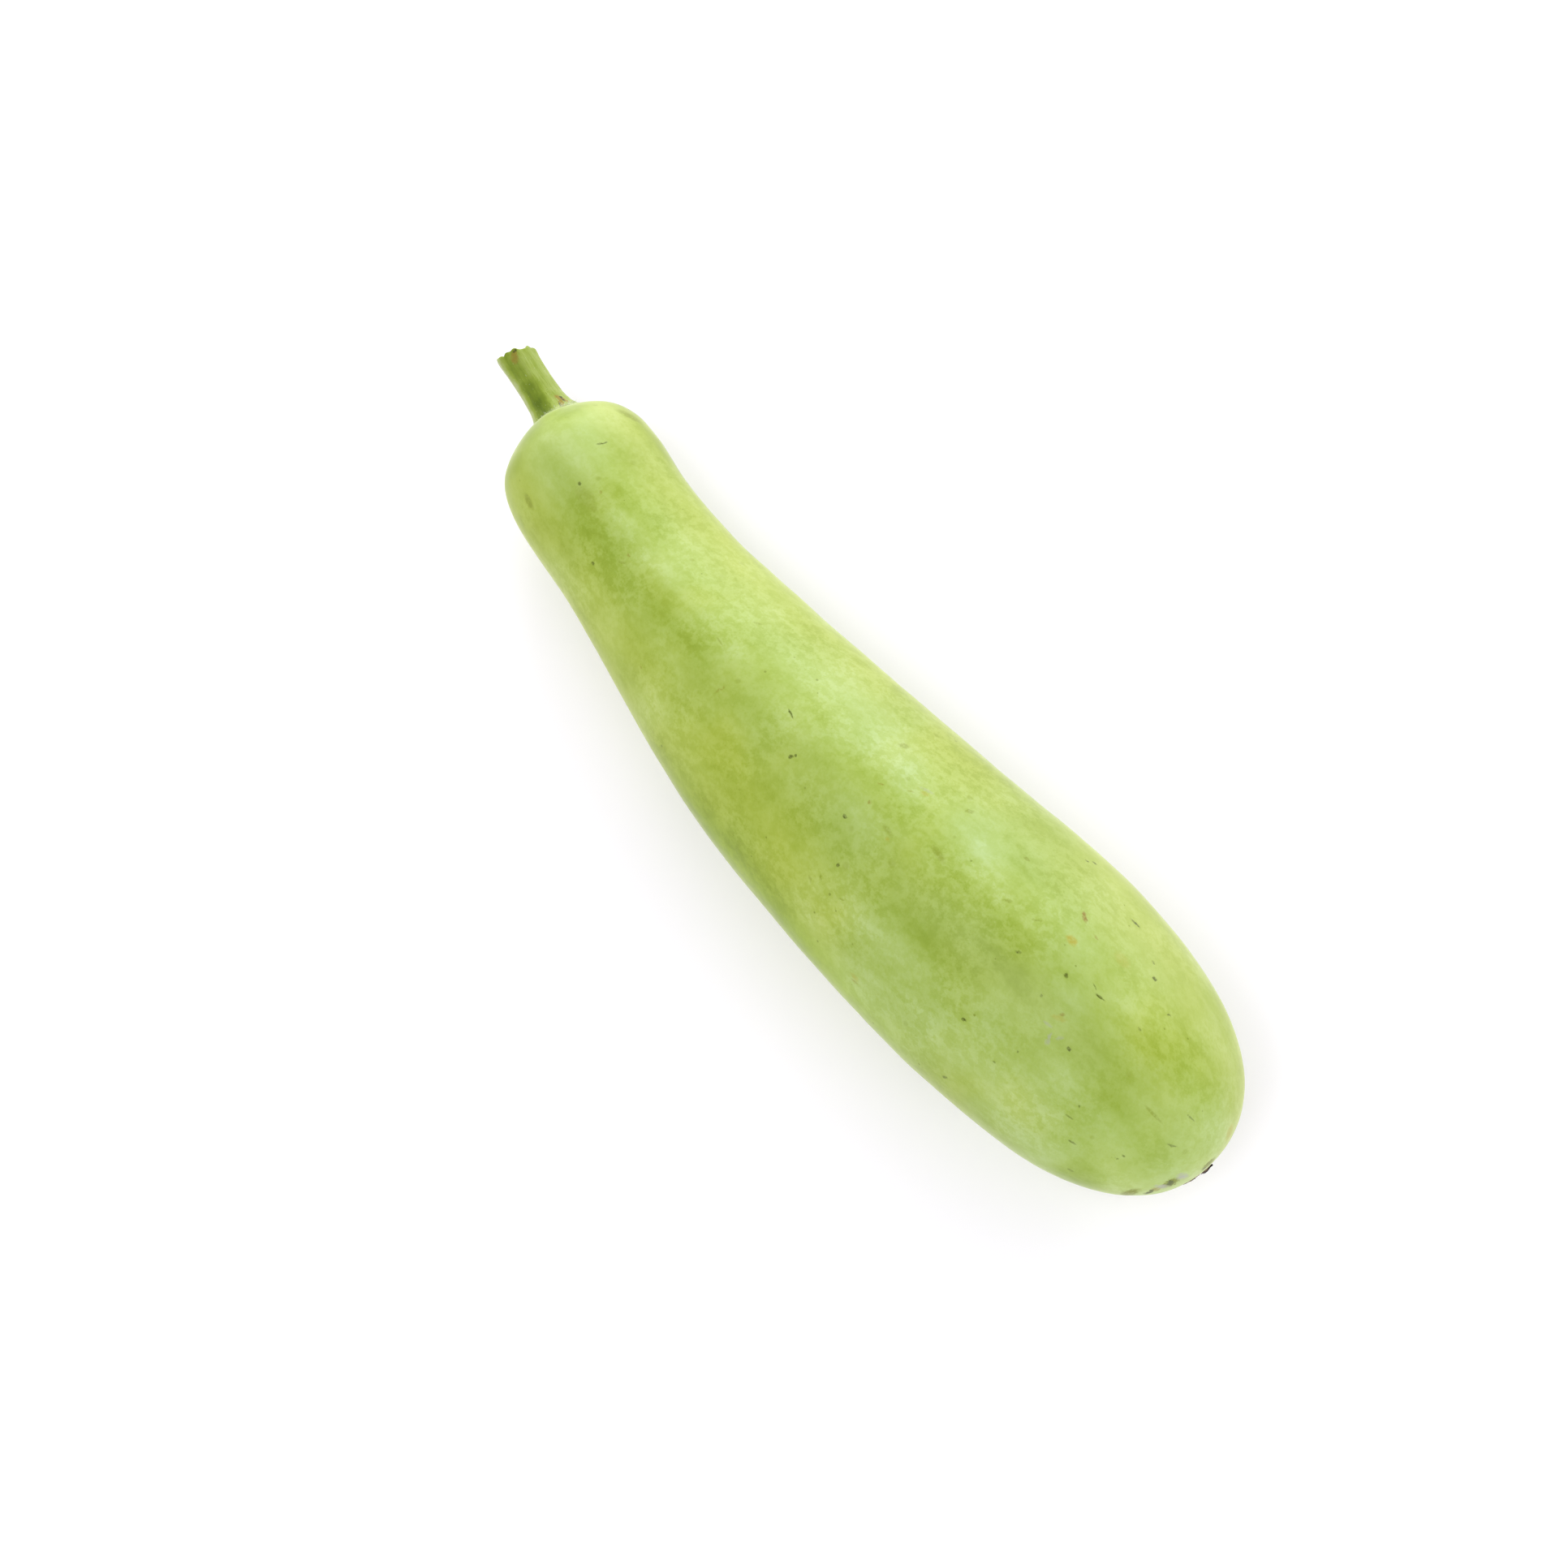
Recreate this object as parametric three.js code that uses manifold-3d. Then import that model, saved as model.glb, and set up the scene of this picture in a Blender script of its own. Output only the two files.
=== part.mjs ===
// Bottle gourd as picked, lying on its side: the fruit, its cut stem, and the dried flower at the other end.
// Millimetres, +Z up. The fruit lies along X with its stem end towards -X, and rests on its belly and shoulder at Z = 0.
import * as THREE from "three";
import { mergeVertices } from "three/addons/utils/BufferGeometryUtils.js";
import Module from "manifold-3d";

const wasm = await Module();
wasm.setup();

// Driving dimensions of the fruit.
const fruitLength = 337; // along the centreline's plan, from the stem end to the flower end
const shoulderCap = { length: 36, roundness: 2.1 }; // the rounded stem end, as a superellipse
const flowerCap = { length: 80, roundness: 2.3 }; // the rounded flower end
const stations = [
  // distance from the stem end, radius without the caps, sideways offset of the centreline
  { at: 0, radius: 32.1, offset: 20.2 },
  { at: 12, radius: 32.1, offset: 17 },
  { at: 25, radius: 29.4, offset: 13 },
  { at: 50, radius: 27.9, offset: 8.2 },
  { at: 80, radius: 30.3, offset: 4 },
  { at: 115, radius: 35.5, offset: 0.4 },
  { at: 155, radius: 40.2, offset: -2.6 },
  { at: 200, radius: 43.5, offset: -2.6 },
  { at: 245, radius: 45.5, offset: -0.6 },
  { at: 280, radius: 44.7, offset: 0.8 },
  { at: 310, radius: 45.1, offset: 1.7 },
  { at: fruitLength, radius: 45.1, offset: 0.6 },
];
const fruitLobes = { count: 5, depth: 0.012, turn: 0.105 }; // faint lengthwise ridges, one along the top
const balancePoint = 203; // distance from the stem end of the place where the belly rests
const pitch = 0.079; // how much the centreline rises towards the thick end, per millimetre
const droop = { from: 255, rate: 0.0022 }; // the flower end sags below that line, as a parabola
const restFlat = 1.4; // how deep the belly is pressed flat where it lies
const flowerDimple = { radius: 12, depth: 0.8 }; // the hollow at the flower end that the dried flower sits in

// Driving dimensions of the stem, measured from the fruit's end.
const stemLength = 27.3; // to the middle of the cut
const stemRadius = 6.5;
const stemDirection = new THREE.Vector3(-1, 0.14, 0.09).normalize();
const stemFlare = { width: 2.3, fade: 2.8 }; // how far the foot spreads, and how fast it narrows
const stemLobes = { count: 5, depth: 0.045, turn: 0.3 };
const stemTipSwell = 0.4;
const cutSlant = 0.3; // how much one side of the stem is longer, per millimetre across
const cutDish = 1; // how deep the middle of the cut has sunk

// Driving dimensions of the dried flower.
const flowerRadius = 9.5;
const flowerHeight = 1.2;
const flowerLobes = { count: 7, depth: 0.08, turn: 0.2 };
const styleRadius = 0.5; // the thread that was the flower's style
const stylePath = [
  // beside and above the middle of the flower, and out from the fruit's end
  { beside: -1, above: -3, out: 0.5 },
  { beside: -5, above: -7, out: 1.3 },
  { beside: -8, above: -10.5, out: -0.3 },
];

const rooted = 6; // how deep the stem and the flower start inside the fruit, before the skin trims them
const seatGap = 0.3; // clearance between the skin and what grows on it

const fruitSides = 48;
const stemSides = 30;
const flowerSides = 42;

const materials = {
  skin: new THREE.MeshStandardMaterial({ color: 0xb4cd72, roughness: 0.45, metalness: 0 }),
  stem: new THREE.MeshStandardMaterial({ color: 0x8fa84a, roughness: 0.7, metalness: 0 }),
  driedFlower: new THREE.MeshStandardMaterial({ color: 0x6b4630, roughness: 0.9, metalness: 0 }),
};

// A smooth curve through the stations, for one of their values.
function smoothThrough(key) {
  const places = stations.map((station) => station.at);
  const values = stations.map((station) => station[key]);
  const curve = new THREE.CubicInterpolant(places, values, 1);
  return (distance) => curve.evaluate(THREE.MathUtils.clamp(distance, 0, fruitLength))[0];
}

const bodyRadius = smoothThrough("radius");
const bodyOffset = smoothThrough("offset");

// A superellipse's height at a depth from its tip: 0 at the tip, 1 where the cap meets the body.
function capShare(depth, cap) {
  const fromBody = THREE.MathUtils.clamp(1 - depth / cap.length, 0, 1);
  return (1 - fromBody ** cap.roundness) ** (1 / cap.roundness);
}

function fruitRadius(distance) {
  const fromFlower = fruitLength - distance;
  return bodyRadius(distance) * capShare(distance, shoulderCap) * capShare(fromFlower, flowerCap);
}

// How much a lobed section swells at an angle from its top.
function lobeShare(lobes, angle) {
  return 1 + lobes.depth * Math.cos(lobes.count * (angle + lobes.turn));
}

// The centreline's height: the belly touches the ground at the balance point, and the flower end sags.
function centreHeight(distance) {
  const belly = fruitRadius(balancePoint) * lobeShare(fruitLobes, Math.PI);
  const sag = droop.rate * Math.max(distance - droop.from, 0) ** 2;
  return belly - restFlat + pitch * (distance - balancePoint) - sag;
}

function centrePoint(distance) {
  return new THREE.Vector3(distance, bodyOffset(distance), centreHeight(distance));
}

// The way that the fruit's centreline runs.
function centreDirection(distance) {
  const step = 0.5;
  const before = centrePoint(Math.max(distance - step, 0));
  const after = centrePoint(Math.min(distance + step, fruitLength));
  return after.sub(before).normalize();
}

// Axes of a cross-section that is square to a direction, with its side axis level.
function sectionAt(centre, direction) {
  const side = new THREE.Vector3(0, 0, 1).cross(direction).normalize();
  const up = direction.clone().cross(side);
  return { centre, side, up };
}

function fruitSection(distance) {
  return sectionAt(centrePoint(distance), centreDirection(distance));
}

// Sections of a short straight piece that grows from a root.
function straightSection(root, direction, distance) {
  return sectionAt(root.clone().addScaledVector(direction, distance), direction);
}

// Turns a profile of (radius, distance) points, swells it by its lobes, and lays it along a centreline.
function sweptGeometry(profile, sides, lobes, section) {
  const geometry = new THREE.LatheGeometry(profile, sides);
  const position = geometry.getAttribute("position");
  for (let i = 0; i < position.count; i++) {
    const above = position.getX(i);
    const distance = position.getY(i);
    const beside = position.getZ(i);
    const swell = lobeShare(lobes, Math.atan2(beside, above));
    const { centre, side, up } = section(distance, beside);
    centre.addScaledVector(up, above * swell).addScaledVector(side, beside * swell);
    position.setXYZ(i, centre.x, centre.y, centre.z);
  }
  return geometry;
}

// Distances of the fruit's rings, closer together towards the tips of both caps.
function ringDistances() {
  const shoulderRings = 13;
  const bodyRings = 24;
  const flowerRings = 17;
  const flowerStart = fruitLength - flowerCap.length;
  const quarterTurn = Math.PI / 2;
  const distances = [];
  for (let i = 0; i < shoulderRings; i++) {
    distances.push(shoulderCap.length * (1 - Math.cos((i / shoulderRings) * quarterTurn)));
  }
  for (let i = 0; i < bodyRings; i++) {
    distances.push(THREE.MathUtils.lerp(shoulderCap.length, flowerStart, i / bodyRings));
  }
  for (let i = 0; i <= flowerRings; i++) {
    distances.push(flowerStart + flowerCap.length * Math.sin((i / flowerRings) * quarterTurn));
  }
  return distances;
}

// A ring of the fruit as a profile point, with the flower end's dimple pressed in.
function fruitRing(distance) {
  const radius = fruitRadius(distance);
  const atFlower = distance > fruitLength / 2;
  const dimple = flowerDimple.depth * (1 - THREE.MathUtils.smoothstep(radius, 0, flowerDimple.radius));
  return new THREE.Vector2(radius, atFlower ? distance - dimple : distance);
}

function fruitGeometry() {
  const geometry = sweptGeometry(ringDistances().map(fruitRing), fruitSides, fruitLobes, fruitSection);
  const position = geometry.getAttribute("position");
  for (let i = 0; i < position.count; i++) {
    position.setZ(i, Math.max(position.getZ(i), 0)); // the belly lies flat on the ground
  }
  return geometry;
}

function stemGeometry() {
  const rings = 12;
  const profile = [new THREE.Vector2(0, -rooted)];
  for (let i = 0; i <= rings; i++) {
    const distance = THREE.MathUtils.lerp(-rooted, stemLength, i / rings);
    const flare = stemFlare.width * Math.exp(-Math.max(distance, 0) / stemFlare.fade);
    const swell = stemTipSwell * THREE.MathUtils.smoothstep(distance, stemLength / 2, stemLength);
    profile.push(new THREE.Vector2(stemRadius + flare + swell, distance));
  }
  const tipRadius = stemRadius + stemTipSwell;
  profile.push(new THREE.Vector2(tipRadius * 0.6, stemLength - cutDish * 0.6));
  profile.push(new THREE.Vector2(0, stemLength - cutDish));
  const root = centrePoint(0);
  return sweptGeometry(profile, stemSides, stemLobes, (distance, beside) => {
    const slant = cutSlant * beside * THREE.MathUtils.smoothstep(distance, stemLength / 2, stemLength);
    return straightSection(root, stemDirection, distance + slant);
  });
}

// The flower's dried petals, as a low lumpy dome.
function petalsGeometry() {
  const profile = [
    new THREE.Vector2(0, -rooted),
    new THREE.Vector2(flowerRadius * 0.95, -rooted),
    new THREE.Vector2(flowerRadius, -flowerDimple.depth),
    new THREE.Vector2(flowerRadius * 0.97, flowerHeight * 0.4),
    new THREE.Vector2(flowerRadius * 0.8, flowerHeight * 0.8),
    new THREE.Vector2(flowerRadius * 0.45, flowerHeight),
    new THREE.Vector2(0, flowerHeight * 0.9),
  ];
  const root = centrePoint(fruitLength);
  const direction = centreDirection(fruitLength);
  const section = (distance) => straightSection(root, direction, distance);
  return sweptGeometry(profile, flowerSides, flowerLobes, section);
}

// The flower's dried style: a thread that comes out of the petals and curls past their edge.
function styleGeometry() {
  const { centre, side, up } = fruitSection(fruitLength);
  const out = centreDirection(fruitLength);
  const points = stylePath.map((point) =>
    centre
      .clone()
      .addScaledVector(side, point.beside)
      .addScaledVector(up, point.above)
      .addScaledVector(out, point.out),
  );
  const path = new THREE.QuadraticBezierCurve3(...points);
  const section = new THREE.Shape().absarc(0, 0, styleRadius, 0, 2 * Math.PI);
  return new THREE.ExtrudeGeometry(section, { steps: 8, curveSegments: 8, extrudePath: path });
}

// A geometry with its shared corners merged and nothing but its shape.
function weldedGeometry(geometry) {
  const bare = geometry.clone();
  bare.deleteAttribute("normal");
  bare.deleteAttribute("uv");
  return mergeVertices(bare, 1e-4);
}

// A geometry with its whole surface moved outwards.
function grownGeometry(geometry, clearance) {
  const grown = weldedGeometry(geometry);
  grown.computeVertexNormals();
  const position = grown.getAttribute("position");
  const normal = grown.getAttribute("normal");
  const point = new THREE.Vector3();
  const outward = new THREE.Vector3();
  for (let i = 0; i < position.count; i++) {
    outward.fromBufferAttribute(normal, i);
    point.fromBufferAttribute(position, i).addScaledVector(outward, clearance);
    position.setXYZ(i, point.x, point.y, point.z);
  }
  return grown;
}

function toSolid(geometry) {
  const welded = weldedGeometry(geometry);
  const mesh = new wasm.Mesh({
    numProp: 3,
    vertProperties: welded.getAttribute("position").array,
    triVerts: new Uint32Array(welded.index.array),
  });
  return new wasm.Manifold(mesh);
}

function toGeometry(solid) {
  const mesh = solid.getMesh();
  const geometry = new THREE.BufferGeometry();
  geometry.setAttribute("position", new THREE.BufferAttribute(mesh.vertProperties, 3));
  geometry.setIndex(new THREE.BufferAttribute(mesh.triVerts, 1));
  geometry.computeVertexNormals();
  return geometry;
}

function namedMesh(name, geometry, material) {
  const mesh = new THREE.Mesh(geometry, material);
  mesh.name = name;
  return mesh;
}

// The skin trims what grows out of the fruit, and leaves it the seat's clearance.
const fruit = fruitGeometry();
const skin = toSolid(grownGeometry(fruit, seatGap));

const stem = toSolid(stemGeometry()).subtract(skin);

const petals = toSolid(petalsGeometry()).subtract(skin);
const driedFlower = petals.add(toSolid(styleGeometry()));

const gourd = new THREE.Group();
gourd.add(namedMesh("fruit", fruit, materials.skin));
gourd.add(namedMesh("stem", toGeometry(stem), materials.stem));
gourd.add(namedMesh("dried_flower", toGeometry(driedFlower), materials.driedFlower));

// The origin is the middle of the gourd's footprint, on the ground.
const extent = new THREE.Box3().setFromObject(gourd, true);
const middle = extent.getCenter(new THREE.Vector3());
gourd.position.set(-middle.x, -middle.y, -extent.min.z);

export default gourd;
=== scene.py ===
import math
import random

import bpy
from mathutils import Euler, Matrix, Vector


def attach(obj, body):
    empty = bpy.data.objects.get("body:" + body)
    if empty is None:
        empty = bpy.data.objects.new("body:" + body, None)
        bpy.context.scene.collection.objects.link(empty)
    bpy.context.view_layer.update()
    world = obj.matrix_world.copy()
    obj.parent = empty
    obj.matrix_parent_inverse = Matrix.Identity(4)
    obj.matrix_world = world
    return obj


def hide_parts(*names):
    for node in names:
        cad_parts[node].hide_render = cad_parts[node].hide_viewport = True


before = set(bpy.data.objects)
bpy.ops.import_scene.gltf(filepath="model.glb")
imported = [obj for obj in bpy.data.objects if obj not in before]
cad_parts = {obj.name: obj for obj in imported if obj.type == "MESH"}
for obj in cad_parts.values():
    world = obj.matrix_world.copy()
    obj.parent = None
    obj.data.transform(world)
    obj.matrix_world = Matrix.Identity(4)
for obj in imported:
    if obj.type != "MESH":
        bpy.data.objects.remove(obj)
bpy.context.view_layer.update()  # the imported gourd: fruit, stem and dried_flower
mm = 0.001


# Modelling helpers

def workOn(piece):
    bpy.ops.object.select_all(action="DESELECT")
    piece.select_set(True)
    bpy.context.view_layer.objects.active = piece


def pickVertices(piece, wanted):  # leaves the piece in edit mode with only the wanted vertices selected
    bpy.ops.object.mode_set(mode="EDIT")
    bpy.ops.mesh.select_mode(type="VERT")
    bpy.ops.mesh.select_all(action="DESELECT")
    bpy.ops.object.mode_set(mode="OBJECT")
    for vertex in piece.data.vertices:
        vertex.select = wanted(vertex)
    bpy.ops.object.mode_set(mode="EDIT")


def movePicked(piece, wanted, offset):
    pickVertices(piece, wanted)
    bpy.ops.transform.translate(value=offset)
    bpy.ops.object.mode_set(mode="OBJECT")


def scalePicked(piece, wanted, scale):
    pickVertices(piece, wanted)
    bpy.ops.transform.resize(value=scale, center_override=(0, 0, 0))
    bpy.ops.object.mode_set(mode="OBJECT")


def turnPicked(angle, axis, centre):  # with no window the operator turns the other way
    bpy.ops.transform.rotate(value=-angle, orient_axis=axis, center_override=centre)


def applyModifier(piece, kind, **settings):
    modifier = piece.modifiers.new(kind.title(), kind)
    for name, value in settings.items():
        setattr(modifier, name, value)
    bpy.ops.object.modifier_apply(modifier=modifier.name)


def subdivideSmooth(piece, levels):
    applyModifier(piece, "SUBSURF", levels=levels, render_levels=levels)


def roughen(piece, name, size, strength):
    texture = bpy.data.textures.new(name, "CLOUDS")
    texture.noise_scale = size
    texture.noise_depth = 2
    applyModifier(piece, "DISPLACE", texture=texture, strength=strength, texture_coords="LOCAL")


def closePicked(push=0):  # the picked ring is pushed along X and drawn together in a point
    bpy.ops.mesh.extrude_region_move(TRANSFORM_OT_translate={"value": (push, 0, 0)})
    bpy.ops.mesh.merge(type="CENTER")
    bpy.ops.object.mode_set(mode="OBJECT")


def faceOutward(piece):
    workOn(piece)
    bpy.ops.object.mode_set(mode="EDIT")
    bpy.ops.mesh.select_all(action="SELECT")
    bpy.ops.mesh.normals_make_consistent(inside=False)
    bpy.ops.object.mode_set(mode="OBJECT")


def copyOf(pattern):
    copy = pattern.copy()
    copy.data = pattern.data.copy()
    bpy.context.collection.objects.link(copy)
    return copy


def joinCopies(copies, name):
    bpy.ops.object.select_all(action="DESELECT")
    for copy in copies:
        copy.select_set(True)
    bpy.context.view_layer.objects.active = copies[0]
    bpy.ops.object.transform_apply(location=True, rotation=True, scale=True)
    bpy.ops.object.join()
    bpy.context.active_object.name = name
    return bpy.context.active_object


def ribbedTube(name, rings, ribs, ribShape):  # one ribbed ring drawn out along X, in millimetres, open ended
    sides = len(ribShape)
    firstAt, firstRadius = rings[0]
    bpy.ops.object.select_all(action="DESELECT")
    bpy.ops.mesh.primitive_circle_add(vertices=ribs * sides, radius=firstRadius * mm)
    tube = bpy.context.active_object
    tube.name = name
    workOn(tube)
    for side, swell in enumerate(ribShape):
        pickVertices(tube, lambda vertex: vertex.index % sides == side)
        bpy.ops.transform.resize(value=(swell, swell, 1), center_override=(0, 0, 0))
    bpy.ops.mesh.select_all(action="SELECT")
    turnPicked(math.pi / 2, "X", (0, 0, 0))
    turnPicked(math.pi / 2, "Z", (0, 0, 0))
    bpy.ops.transform.translate(value=(firstAt * mm, 0, 0))
    for (before, radius), (at, nextRadius) in zip(rings, rings[1:]):
        bpy.ops.mesh.extrude_region_move(TRANSFORM_OT_translate={"value": ((at - before) * mm, 0, 0)})
        growth = nextRadius / radius
        bpy.ops.transform.resize(value=(1, growth, growth), center_override=(at * mm, 0, 0))
    bpy.ops.object.mode_set(mode="OBJECT")
    return tube


def layPiece(piece, place, turn):  # a piece modelled at the origin is turned and put in its place
    workOn(piece)
    piece.location = place
    piece.rotation_euler = turn.to_euler()
    bpy.ops.object.transform_apply(location=True, rotation=True, scale=True)


def store(piece, name, values):  # one vector or number for each vertex, for the material to read
    vectors = isinstance(values[0], Vector)
    attribute = piece.data.attributes.new(name, "FLOAT_VECTOR" if vectors else "FLOAT", "POINT")
    for point, value in zip(attribute.data, values):
        setattr(point, "vector" if vectors else "value", value)


# Shader helpers: each adds nodes and hands back their output

def wire(tree, socket, value):
    if isinstance(value, bpy.types.NodeSocket):
        tree.links.new(value, socket)
    else:
        socket.default_value = value


def calc(tree, operation, *values):
    node = tree.nodes.new("ShaderNodeMath")
    node.operation = operation
    for socket, value in zip(node.inputs, values):
        wire(tree, socket, value)
    return node.outputs["Value"]


def times(tree, first, *others):
    for value in others:
        first = calc(tree, "MULTIPLY", first, value)
    return first


def plus(tree, first, *others):
    for value in others:
        first = calc(tree, "ADD", first, value)
    return first


def minus(tree, first, second):
    return calc(tree, "SUBTRACT", first, second)


def calcVector(tree, operation, *values):
    node = tree.nodes.new("ShaderNodeVectorMath")
    node.operation = operation
    for socket, value in zip(node.inputs, values):
        wire(tree, socket, value)
    return node.outputs["Vector"]


def fade(tree, value, start, end, low=0, high=1):  # smoothly from low at start to high at end
    node = tree.nodes.new("ShaderNodeMapRange")
    node.interpolation_type = "SMOOTHSTEP"
    for socket, given in zip(node.inputs, (value, start, end, low, high)):
        wire(tree, socket, given)
    return node.outputs["Result"]


def blend(tree, amount, first, second, mode="MIX"):
    node = tree.nodes.new("ShaderNodeMix")
    node.data_type = "RGBA"
    node.blend_type = mode
    wire(tree, node.inputs[0], amount)
    wire(tree, node.inputs[6], first)
    wire(tree, node.inputs[7], second)
    return node.outputs[2]


def ramp(tree, value, stops):
    node = tree.nodes.new("ShaderNodeValToRGB")
    wire(tree, node.inputs["Fac"], value)
    elements = node.color_ramp.elements
    while len(elements) < len(stops):
        elements.new(1)
    for element, (place, colour) in zip(elements, stops):
        element.position = place
        element.color = (*colour, 1)
    return node.outputs["Color"]


def noise(tree, place, size, detail=0, roughness=0.5, distortion=0):
    node = tree.nodes.new("ShaderNodeTexNoise")
    wire(tree, node.inputs["Vector"], place)
    wire(tree, node.inputs["Scale"], calc(tree, "DIVIDE", 1, size))
    node.inputs["Detail"].default_value = detail
    node.inputs["Roughness"].default_value = roughness
    node.inputs["Distortion"].default_value = distortion
    return node.outputs["Fac"]


def evenNoise(tree, place, size, detail, roughness=0.5, distortion=0):  # centred on zero
    return minus(tree, noise(tree, place, size, detail, roughness, distortion), 0.5)


def attribute(tree, name):
    node = tree.nodes.new("ShaderNodeAttribute")
    node.attribute_name = name
    return node.outputs


def separate(tree, vector):
    node = tree.nodes.new("ShaderNodeSeparateXYZ")
    wire(tree, node.inputs["Vector"], vector)
    return node.outputs


def newMaterial(name, constants):
    material = bpy.data.materials.new(name)
    material.use_nodes = True
    shader = material.node_tree.nodes["Principled BSDF"]
    for socketName, value in constants.items():
        shader.inputs[socketName].default_value = value
    return material, material.node_tree, shader


def newGroup(name, inputs, outputs):
    group = bpy.data.node_groups.new(name, "ShaderNodeTree")
    kinds = {"vector": "NodeSocketVector", "value": "NodeSocketFloat", "colour": "NodeSocketColor"}
    for side, sockets in (("INPUT", inputs), ("OUTPUT", outputs)):
        for socketName, kind in sockets.items():
            group.interface.new_socket(name=socketName, in_out=side, socket_type=kinds[kind])
    return group, group.nodes.new("NodeGroupInput").outputs, group.nodes.new("NodeGroupOutput").inputs


def useGroup(tree, group, **values):
    node = tree.nodes.new("ShaderNodeGroup")
    node.node_tree = group
    for name, value in values.items():
        wire(tree, node.inputs[name], value)
    return node.outputs


# Effects that the skin, the stem and the flower share; every place and size in them is in millimetres

def makeMottle():  # soft clouds from broad to fine, centred on zero
    group, given, made = newGroup("mottle", {"Place": "vector", "Size": "value"}, {"Cloud": "value"})
    cloud = evenNoise(group, given["Place"], given["Size"], detail=3, roughness=0.55, distortion=0.1)
    wire(group, made["Cloud"], cloud)
    return group


def makeStrokes():  # fine short strokes: Place is squeezed along them before it comes in
    group, given, made = newGroup("strokes", {"Place": "vector", "Size": "value"}, {"Stroke": "value"})
    stroke = evenNoise(group, given["Place"], given["Size"], detail=2, roughness=0.6, distortion=0.3)
    wire(group, made["Stroke"], stroke)
    return group


def makeSpecks():  # scattered dots: Share is how many of the cells hold one
    smallest, core = 0.4, 0.4  # the smallest dot's share of Size, and the share of a dot that is full
    inputs = {"Place": "vector", "Spacing": "value", "Size": "value", "Share": "value"}
    group, given, made = newGroup("specks", inputs, {"Mask": "value"})
    cells = group.nodes.new("ShaderNodeTexVoronoi")
    wire(group, cells.inputs["Vector"], given["Place"])
    wire(group, cells.inputs["Scale"], calc(group, "DIVIDE", 1, given["Spacing"]))
    chance = group.nodes.new("ShaderNodeSeparateColor")
    wire(group, chance.inputs["Color"], cells.outputs["Color"])
    distance = times(group, cells.outputs["Distance"], given["Spacing"])
    size = times(group, given["Size"], plus(group, chance.outputs["Green"], smallest))
    dot = fade(group, distance, size, times(group, size, core))
    kept = calc(group, "LESS_THAN", chance.outputs["Red"], given["Share"])
    wire(group, made["Mask"], times(group, dot, kept))
    return group


def makeMark():  # one mark: Along and Around are distances from its middle, Turn is from along towards around
    softEdge = (1.9, 0.1)  # squared distance where it ends and where it is full, with 1 at its outline
    inputs = dict.fromkeys(("Along", "Around", "Turn", "Length", "Width"), "value")
    group, given, made = newGroup("mark", inputs, {"Mask": "value"})
    along, around = given["Along"], given["Around"]
    sine, cosine = calc(group, "SINE", given["Turn"]), calc(group, "COSINE", given["Turn"])
    lengthwise = plus(group, times(group, along, cosine), times(group, around, sine))
    crosswise = minus(group, times(group, around, cosine), times(group, along, sine))
    squares = 0
    for distance, size in ((lengthwise, given["Length"]), (crosswise, given["Width"])):
        share = calc(group, "DIVIDE", distance, times(group, size, 0.5))
        squares = plus(group, squares, calc(group, "POWER", share, 2))
    wire(group, made["Mask"], fade(group, squares, *softEdge))
    return group


mottle, strokes, specks, mark = makeMottle(), makeStrokes(), makeSpecks(), makeMark()
print("shared effects built")


def grownPlaces(tree, side=1):  # places on the straight piece, in millimetres and degrees from its top
    place = calcVector(tree, "DIVIDE", attribute(tree, "grown")["Vector"], (mm, mm, mm))
    along, sideways, up = separate(tree, place)
    angle = calc(tree, "DEGREES", calc(tree, "ARCTAN2", times(tree, sideways, side), up))
    radius = calc(tree, "SQRT", plus(tree, calc(tree, "POWER", sideways, 2), calc(tree, "POWER", up, 2)))
    return place, along, angle, radius


def softSpots(tree, places, drift, spots):  # every spot's mask times its strength
    place, along, angle, radius = places
    size, depth = drift  # unevenness keeps the spots from being clean ellipses
    along = plus(tree, along, times(tree, evenNoise(tree, place, size, 2), depth))
    for at, spotAngle, length, width, turn, strength in spots:
        values = {
            "Along": minus(tree, along, at),
            "Around": times(tree, calc(tree, "RADIANS", minus(tree, angle, spotAngle)), radius),
            "Turn": math.radians(turn),
            "Length": length,
            "Width": width,
        }
        yield times(tree, useGroup(tree, mark, **values)["Mask"], strength)


markDrift = (1.3, 2.0)  # size and depth of the unevenness of small marks
markGrain = (0.8, (0.3, 0.55, 0.5, 1))  # its size, and the fade that makes a mark weaker in places


def markMask(tree, places, marks):
    mask = 0
    for spot in softSpots(tree, places, markDrift, marks):
        mask = calc(tree, "MAXIMUM", mask, spot)
    size, limits = markGrain
    return times(tree, mask, fade(tree, noise(tree, places[0], size, detail=1), *limits))


def bumpNormal(tree, shader, height):  # height in millimetres
    bump = tree.nodes.new("ShaderNodeBump")
    bump.inputs["Distance"].default_value = mm
    wire(tree, bump.inputs["Height"], height)
    wire(tree, shader.inputs["Normal"], bump.outputs["Normal"])


# Camera

camera = {
    "azimuth": 48.06,
    "elevation": 72,
    "distance": 1.21,
    "lens": 85,
    "centre": (0.0092, 0.0009, 0.04),
    "panLeft": 0.777,  # degrees, after it looks at the centre
}


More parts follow.
